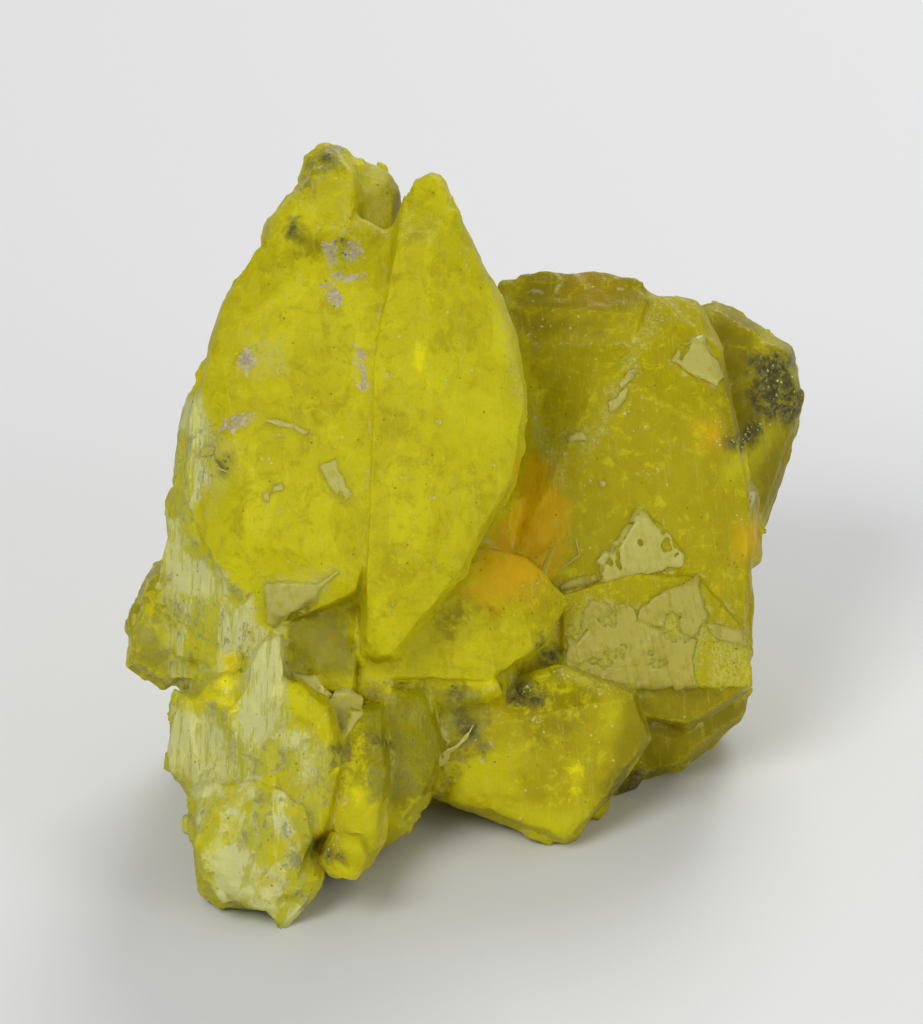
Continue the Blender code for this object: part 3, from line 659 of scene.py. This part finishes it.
def broken(spot, shift):
    """The height of a broken surface: flat pieces about 1 across, each with its own height and tilt."""
    spot = spot + Vector(shift)
    middle = noise.voronoi(spot)[1][0]
    # Two unlike multiples of the piece's middle, so that its tilt and its height have nothing in common
    tilt = noise.cell_vector(middle * 9.7) - Vector((0.5, 0.5, 0.5))
    return (spot - middle).dot(tilt) + (noise.cell(middle * 13.1) - 0.5) * 0.6


def relief(p, smooth, frosted):
    """How far the surface stands out at a point, in mm, where the crystal is so smooth and so frosted."""
    height = 0.020 * noise.noise(p * 0.8) + 0.010 * noise.noise(p * 2.9)
    rugged = (1 - 0.9 * smooth) * (1 - frosted)
    height += rugged * (0.060 * broken(p, (3, 1, 4)) + 0.035 * broken(p / 0.42, (1, 5, 9)))
    upright = Vector((p.x / 0.45, p.y / 1.8, p.z))  # long low steps along the crystal
    height += smooth * (0.02 * broken(p / 1.3, (2, 7, 5)) + 0.02 * broken(upright, (8, 2, 3)))
    if frosted > 0.01:  # blades and fibres, upright above and radiating in the lobe
        across, along = p.x, p.y
        if p.y < FAN_TOP:
            across = math.atan2(p.y - FAN.y, p.x - FAN.x) * 2.4
            along = math.hypot(p.y - FAN.y, p.x - FAN.x)
        height += frosted * 0.13 * broken(Vector((across / 0.6, along / 1.6, p.z / 0.7)), (6, 1, 8))
        height += frosted * 0.06 * broken(Vector((across / 0.25, along / 0.9, p.z / 0.4)), (5, 3, 2))
        height += frosted * 0.03 * noise.noise(Vector((across * 4.5, along * 0.6, p.z * 2)))
    return height


def crystal_body():
    """The cluster itself: the solid's faces finely divided, its edges eased and its surface broken."""
    bm = bmesh.new()
    bm.from_mesh(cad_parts["jouravskite_cluster"].data)
    bmesh.ops.remove_doubles(bm, verts=bm.verts, dist=DOUBLE)
    bmesh.ops.transform(bm, matrix=ON_FACE, verts=bm.verts)
    bmesh.ops.dissolve_limit(bm, angle_limit=FLAT, verts=bm.verts, edges=bm.edges)
    bmesh.ops.dissolve_degenerate(bm, dist=TINY, edges=bm.edges)
    bmesh.ops.triangulate(bm, faces=bm.faces)
    refined(bm, longest_edge)
    bends_eased(bm)
    seen = seen_share(bm)
    healed(bm, seen)
    depths = marked(bm, np.clip(seen * 1.6, 0, 1))
    bm.normal_update()
    smooth = np.clip(depths["smooth"] / REACH - 0.5, 0, 1)
    frosted = np.clip((depths["frosted"] - REACH) / FROST_BORDER + 0.5, 0, 1)
    moved = [
        vert.normal * relief(vert.co, smooth[i], frosted[i]) * min(max(vert.co.dot(UP) / ROUGH_FROM, 0), 1)
        for i, vert in enumerate(bm.verts)
    ]
    for vert, by in zip(bm.verts, moved):
        vert.co += by
    for _ in range(UNFOLDINGS):  # a point that folded over at a sharp edge is laid flat again
        folds = [edge for edge in bm.edges if edge.calc_face_angle(0) > FOLDED]
        eased(bm, list({vert for edge in folds for vert in edge.verts if vert.co.dot(UP) > EASED_FROM}))
    return bm


# ---------------------------------------------------------------- flakes, needles and grains

# Each flake's outline, how far it stands proud and the share of it that is open
FLAKES = [
    ([
        (4.08, 10.01), (4.27, 9.87), (4.53, 9.71), (4.74, 9.61), (4.92, 9.54), (5.01, 9.70),
        (4.92, 9.98), (4.74, 10.24), (4.66, 10.48), (4.50, 10.43), (4.29, 10.22),
    ], 0.03, 0.0),
    ([
        (2.75, 6.44), (2.84, 6.20), (2.92, 6.00), (3.24, 6.09), (3.71, 6.21), (4.31, 6.37), (4.32, 6.60),
        (4.13, 6.72), (4.11, 6.88), (3.82, 7.05), (3.69, 7.30), (3.52, 7.40), (3.33, 7.14), (3.15, 6.88),
        (2.92, 6.65),
    ], 0.03, 0.10),
    ([
        (-3.06, 6.07), (-3.05, 5.30), (-2.92, 5.30), (-2.50, 5.60), (-2.15, 5.83), (-2.05, 5.99),
        (-1.79, 6.25), (-1.80, 6.30), (-2.05, 6.11), (-2.28, 6.07),
    ], 0.03, 0.0),
    ([
        (-2.63, 4.52), (-2.45, 4.17), (-2.28, 4.20), (-2.15, 4.06), (-1.96, 3.97), (-1.89, 4.15),
        (-2.05, 4.25), (-2.22, 4.43),
    ], 0.03, 0.1),
    ([
        (-1.70, 4.29), (-1.87, 4.20), (-1.96, 3.97), (-1.96, 3.73), (-1.89, 3.50), (-1.80, 3.19),
        (-1.58, 3.45), (-1.37, 3.80), (-1.35, 4.03),
    ], 0.04, 0.06),
    ([(-2.12, 8.14), (-1.96, 7.82), (-1.75, 7.47), (-1.54, 7.61), (-1.72, 7.93), (-1.82, 8.24)], 0.02, 0.0),
    ([
        (0.63, 3.59), (0.35, 3.29), (-0.07, 2.98), (-0.11, 2.66), (0.09, 2.87), (0.32, 3.19),
        (0.49, 3.33),
    ], 0.05, 0.0),
    ([(-3.06, 8.87), (-2.54, 8.77), (-2.35, 8.68), (-2.31, 8.73), (-2.52, 8.86), (-3.05, 8.93)], 0.02, 0.0),
    ([(-4.20, 8.42), (-4.18, 8.28), (-3.97, 8.28), (-3.94, 8.44)], 0.03, 0.0),
    ([(-2.94, 7.77), (-2.91, 7.65), (-2.77, 7.68), (-2.78, 7.81)], 0.04, 0.0),
    ([(-3.12, 7.65), (-3.10, 7.49), (-2.99, 7.53), (-2.98, 7.68)], 0.04, 0.0),
    ([(3.15, 9.57), (3.33, 9.77), (3.45, 9.87), (3.47, 9.77), (3.33, 9.61), (3.19, 9.50)], 0.02, 0.1),
    ([(2.22, 8.70), (2.38, 8.73), (2.57, 8.73), (2.59, 8.59), (2.42, 8.56), (2.28, 8.58)], 0.02, 0.1),
    ([(5.44, 7.70), (5.55, 7.70), (5.57, 7.39), (5.48, 7.33)], 0.02, 0.1),
    ([(2.80, 7.89), (2.94, 7.88), (2.94, 7.77), (2.84, 7.77)], 0.02, 0.0),
    ([
        (2.98, 9.24), (3.08, 9.31), (3.26, 9.52), (3.33, 9.52), (3.27, 9.31), (3.12, 9.14), (2.99, 9.08),
    ], 0.02, 0.1),
]
MOTTLED_FLAKES = [
    ([
        (3.50, 5.57), (3.50, 5.43), (3.76, 5.30), (4.20, 5.22), (4.53, 5.08), (4.59, 5.30), (4.74, 5.51),
        (4.64, 5.74), (4.55, 6.20), (4.29, 6.04), (4.03, 5.95), (3.76, 5.78),
    ], 0.03, 0.15),
    ([
        (2.22, 4.95), (2.26, 5.30), (2.54, 5.51), (2.63, 5.74), (3.33, 5.69), (3.50, 5.46), (3.76, 5.29),
        (4.20, 5.20), (4.53, 5.06), (4.46, 4.73), (4.55, 4.20), (4.03, 4.18), (3.33, 4.25), (2.89, 4.20),
        (2.54, 4.25), (2.28, 4.46),
    ], 0.02, 0.40),
    ([(4.76, 5.34), (4.85, 5.08), (5.08, 4.99), (5.43, 4.94), (5.44, 5.20), (5.16, 5.27)], 0.02, 0.15),
    ([(2.10, 6.00), (2.14, 5.92), (2.45, 5.99), (2.80, 6.09), (2.75, 6.23), (2.31, 6.13)], 0.02, 0.0),
    ([(2.80, 4.52), (3.50, 4.62), (4.38, 4.52), (4.55, 4.22), (3.50, 4.17), (2.89, 4.20)], 0.04, 0.25),
    ([(2.35, 5.08), (2.66, 5.22), (2.87, 4.97), (2.77, 4.66), (2.45, 4.62)], 0.04, 0.2),
]

FLAKE_EDGE = 0.09  # the longest edges of a flake's mesh, in mm: round its outline
FLAKE_FACE = 0.11  # and inside it
FLAKE_ROOT = 0.30  # how deep a flake is rooted in the crystal, in mm
FLAKE_BEND = 0.08  # how far a flake follows the surface from flat, in mm
FLAKE_WAVE = 0.07  # how far its outline strays, in mm
PIT_DEPTH = 0.05  # how far a flake's pits go below the surface, in mm
PITTED = 0.62  # the noise from which a flake has a pit
ELSEWHERE = 300.0 * UP  # far enough off for another pattern of the same noise

# Each needle's two ends and its radius, in mm
NEEDLES = [
    ((-3.99, 8.49), (-2.71, 8.61), 0.03),
    ((1.73, 6.18), (1.96, 6.69), 0.025),
    ((1.84, 6.21), (2.05, 6.83), 0.025),
    ((1.68, 6.07), (1.77, 6.37), 0.02),
    ((2.40, 6.83), (2.47, 6.55), 0.02),
    ((2.47, 6.55), (2.14, 6.32), 0.02),
    ((-3.90, 8.09), (-3.64, 7.98), 0.025),
]

# Lines of white dust, how many grains each has and how far they stray
DUST_LINES = [
    ([(0.91, 11.43), (1.14, 11.03), (1.26, 10.55)], 22, 0.06),
    ([(1.26, 10.50), (1.58, 9.19), (1.84, 8.58), (2.10, 8.28), (2.14, 7.70)], 32, 0.06),
    ([(3.85, 10.94), (3.80, 10.64)], 11, 0.05),
    ([
        (3.41, 10.24), (3.36, 9.77), (3.17, 9.59), (3.12, 9.28), (2.94, 9.01), (2.85, 8.75),
        (2.54, 8.31),
    ], 40, 0.06),
    ([(2.80, 10.75), (2.10, 10.68), (1.58, 10.50)], 16, 0.07),
    ([(2.22, 8.63), (2.57, 8.66)], 14, 0.05),
    ([(2.63, 4.64), (3.06, 4.20)], 18, 0.12),
    ([(4.81, 4.90), (5.16, 4.64), (5.43, 4.31)], 22, 0.12),
    ([(0.35, 11.90), (0.88, 11.03)], 14, 0.14),
    ([(4.94, 9.54), (4.99, 8.93), (5.02, 8.58)], 11, 0.04),
    ([(-0.18, 9.28), (0.70, 7.88), (-0.70, 5.78)], 14, 0.5),
    ([(-3.50, 11.03), (-1.93, 8.93), (-3.33, 7.18)], 18, 0.6),
    ([(2.80, 9.98), (4.55, 8.93), (3.15, 7.18), (5.25, 5.78)], 27, 0.5),
    ([(1.40, 4.20), (1.70, 3.76)], 18, 0.10),
    ([(1.93, 4.90), (2.21, 4.62)], 16, 0.08),
    ([(-2.15, 1.66), (-1.66, 1.40)], 14, 0.08),
    ([(5.34, 7.00), (5.57, 7.53), (5.51, 7.67)], 11, 0.06),
]
CHIPS_OFF = 3  # how many corners a grain has lost
WILD = 0.3  # how far a grain's tilt strays from the surface's
TOO_STEEP = 0.3  # no grain lies where the surface looks out less than this


def perch(u, v):
    """The point and normal of the surface that is seen at (u, v), both None where there is none."""
    hit, normal, _, _ = SURFACE.ray_cast(Vector((u, v, WELL_OUT)), -OUT)
    return (hit, normal) if hit else (None, None)


def flake(outline, rise, open_share):
    """A thin cleaved plate that lies on the crystal inside its outline, with pits right through it."""
    bm = bmesh.new()
    bm.faces.new([bm.verts.new((u, v, 0)) for u, v in outline])
    refined(bm, lambda edge: FLAKE_EDGE if edge.is_boundary else FLAKE_FACE)
    for vert in bm.verts:
        if vert.is_boundary:
            spot = vert.co * 6
            vert.co += Vector((noise.noise(spot), noise.noise(spot + ELSEWHERE), 0)) * FLAKE_WAVE
    places = [(vert.co.x, vert.co.y, hit.z) for vert in bm.verts for hit, _ in [perch(*vert.co.xy)] if hit]
    us, vs, ns = np.array(places).T
    near = np.abs(ns - np.median(ns)) < 0.5
    slope = np.linalg.lstsq(np.column_stack((us, vs, np.ones(len(us))))[near], ns[near], rcond=None)[0]
    raised = bmesh.ops.extrude_face_region(bm, geom=bm.faces[:])["geom"]
    raised = {item for item in raised if isinstance(item, bmesh.types.BMVert)}
    for vert in bm.verts:
        level = slope[0] * vert.co.x + slope[1] * vert.co.y + slope[2]
        hit, _ = perch(*vert.co.xy)
        if vert not in raised:
            vert.co.z = level - FLAKE_ROOT
            continue
        height = min(max(hit.z, level - FLAKE_BEND), level + FLAKE_BEND) if hit else level
        vert.co.z = height + rise + 0.008 * noise.noise(vert.co * 5)
        pit = noise.noise(vert.co * 3.1 + UP * 7) + 0.5 * noise.noise(vert.co * 7.3)
        if pit > PITTED - open_share and not vert.is_boundary:
            vert.co.z -= rise + PIT_DEPTH
    return bm


def needle(start, end, radius):
    """A thin six-sided needle."""
    bm = bmesh.new()
    along = end - start
    bmesh.ops.create_cone(
        bm, segments=6, radius1=radius, radius2=radius * 0.55, depth=along.length, cap_ends=True
    )
    turn = along.to_track_quat("Z", "Y").to_matrix().to_4x4()
    bmesh.ops.transform(bm, matrix=Matrix.Translation((start + end) / 2) @ turn, verts=bm.verts)
    return bm


def cut(bm, point, normal):
    """Takes away what lies outside the plane and closes the shape again."""
    everything = bm.verts[:] + bm.edges[:] + bm.faces[:]
    bmesh.ops.bisect_plane(bm, geom=everything, dist=1e-5, plane_co=point, plane_no=normal, clear_outer=True)
    bmesh.ops.holes_fill(bm, edges=[edge for edge in bm.edges if edge.is_boundary])


def any_way(most):
    """A random direction, up to most along each axis."""
    return Vector([random.uniform(-most, most) for _ in range(3)])


def crumb(at, out, size, flat):
    """A small block of broken crystal, half sunk where it sits."""
    bm = bmesh.new()
    bmesh.ops.create_cube(bm, size=1)
    for _ in range(CHIPS_OFF):
        way = any_way(1).normalized()
        cut(bm, way * random.uniform(0.33, 0.48), way)
    turn = out.to_track_quat("Z", "Y").to_matrix().to_4x4() @ Matrix.Rotation(random.uniform(0, 6.28), 4, "Z")
    shape = Matrix.Diagonal((size, size * random.uniform(0.5, 1.0), size * flat, 1))
    bmesh.ops.transform(bm, matrix=Matrix.Translation(at) @ turn @ shape, verts=bm.verts)
    return bm


def settled(spots, sizes, sink, flat):
    """Grains on the surface at these spots, where it is neither steep nor low."""
    crumbs = []
    for u, v in spots:
        hit, normal = perch(u, v)
        if not hit or hit.dot(UP) < GRAINS_FROM or normal.z < TOO_STEEP:
            continue
        size = random.uniform(sizes[0] ** 0.5, sizes[1] ** 0.5) ** 2
        out = (normal + any_way(WILD)).normalized()
        crumbs.append(crumb(hit - normal * size * flat * sink, out, size, flat))
    return crumbs


def spots_in(outline, count):
    """Points in front of the cluster, at random inside an outline."""
    us, vs = zip(*outline)
    found = []
    while len(found) < count:
        u = np.array([random.uniform(min(us), max(us))])
        v = np.array([random.uniform(min(vs), max(vs))])
        if depth_inside(outline, u, v)[0] > 0:
            found.append((u[0], v[0]))
    return found


def spots_along(line, count, spread):
    """Points in loose clusters near a line of points."""
    found = []
    while len(found) < count:
        i = random.randrange(len(line) - 1)
        t = random.random()
        u = line[i][0] * (1 - t) + line[i + 1][0] * t + random.gauss(0, spread)
        v = line[i][1] * (1 - t) + line[i + 1][1] * t + random.gauss(0, spread)
        wide = random.uniform(0.02, 0.09)
        found += [(random.gauss(u, wide), random.gauss(v, wide)) for _ in range(random.randint(1, 9))]
    return found


def settled_in(outlines, count, sizes, sink, flat):
    return [one for outline in outlines for one in settled(spots_in(outline, count), sizes, sink, flat)]


# ---------------------------------------------------------------- the studio


def lamp(name, place, size, power):
    light = bpy.data.lights.new(name, "AREA")
    light.shape = "DISK"
    light.size = size
    light.energy = power
    obj = placed(name, light)
    obj.location = place
    obj.rotation_euler = (LAMP_AIM - Vector(place)).to_track_quat("-Z", "Y").to_euler()


def studio():
    bm = bmesh.new()
    bmesh.ops.create_grid(bm, x_segments=1, y_segments=1, size=TABLE_HALF)
    obj = placed("floor", mesh_from(bm, "floor"))
    f = Finish("pale floor")
    obj.data.materials.append(f.done(f.shader(Base_Color=TABLE_LOOK, Roughness=0.6)))
    for name, row in LAMPS.items():
        lamp(name, *row)
    scene = bpy.context.scene
    scene.world = bpy.data.worlds.new("studio")
    scene.world.use_nodes = True
    sky = scene.world.node_tree.nodes["Background"].inputs
    sky["Color"].default_value = SKY_COLOUR
    sky["Strength"].default_value = SKY_STRENGTH
    scene.view_settings.view_transform = "Standard"
    camera = bpy.data.cameras.new("camera")
    camera.sensor_width = SENSOR
    camera.lens = SENSOR * VIEW_AWAY / VIEW_HEIGHT
    camera.clip_start = 0.01
    camera.clip_end = 5
    scene.camera = placed("camera", camera)
    scene.camera.location = FACE @ Vector((*VIEW_CENTRE, VIEW_AWAY))
    scene.camera.rotation_euler = (math.pi / 2 - LEAN, 0, 0)


# ---------------------------------------------------------------- the specimen

body = crystal_body()
SURFACE = BVHTree.FromBMesh(body)
# the flakes' pale colours are partly their own and partly a painted reflection of the lamps on flat cleavage faces
cream_and_painted_reflection = cleavage_finish("cream cleavage", (0.44, 0.40, 0.085), (0.37, 0.33, 0.03), 0.30)
mottled_and_painted_reflection = cleavage_finish("mottled cleavage", (0.38, 0.33, 0.045), (0.28, 0.24, 0.006), 0.34)
shown("crystal_body", body, crystal_finish(), smooth=True)
shown("cleaved_flakes", joined([flake(*row) for row in FLAKES]), cream_and_painted_reflection, smooth=True)
shown("mottled_flakes", joined([flake(*row) for row in MOTTLED_FLAKES]), mottled_and_painted_reflection, smooth=True)

white = grain_finish("white grains", (0.54, 0.50, 0.24), (0.42, 0.38, 0.12))
dust = []
for line, count, spread in DUST_LINES:
    dust += settled(spots_along(line, count, spread), (0.012, 0.05), sink=0.3, flat=0.5)
dust += settled_in(ZONES["speckled"][:2], 35, (0.012, 0.05), sink=0.3, flat=0.6)
shown("white_grains", joined(dust), white)

dark = grain_finish("dark inclusions", (0.11, 0.105, 0.05), (0.025, 0.024, 0.010), 0.5)
shown("dark_grains", joined(settled_in(ZONES["speckled"], 8, (0.02, 0.06), sink=0.4, flat=0.5)), dark)

pink = grain_finish("clay grains", (0.50, 0.42, 0.33), (0.34, 0.27, 0.20))
shown("clay_grains", joined(settled_in(ZONES["clay"], 20, (0.02, 0.08), sink=0.25, flat=0.6)), pink)

needles = []
for start, end, radius in NEEDLES:
    ends = [perch(*spot) for spot in (start, end)]
    needles.append(needle(*(hit + normal * radius * 0.3 for hit, normal in ends), radius))
shown("needles", joined(needles), cream_and_painted_reflection)
studio()
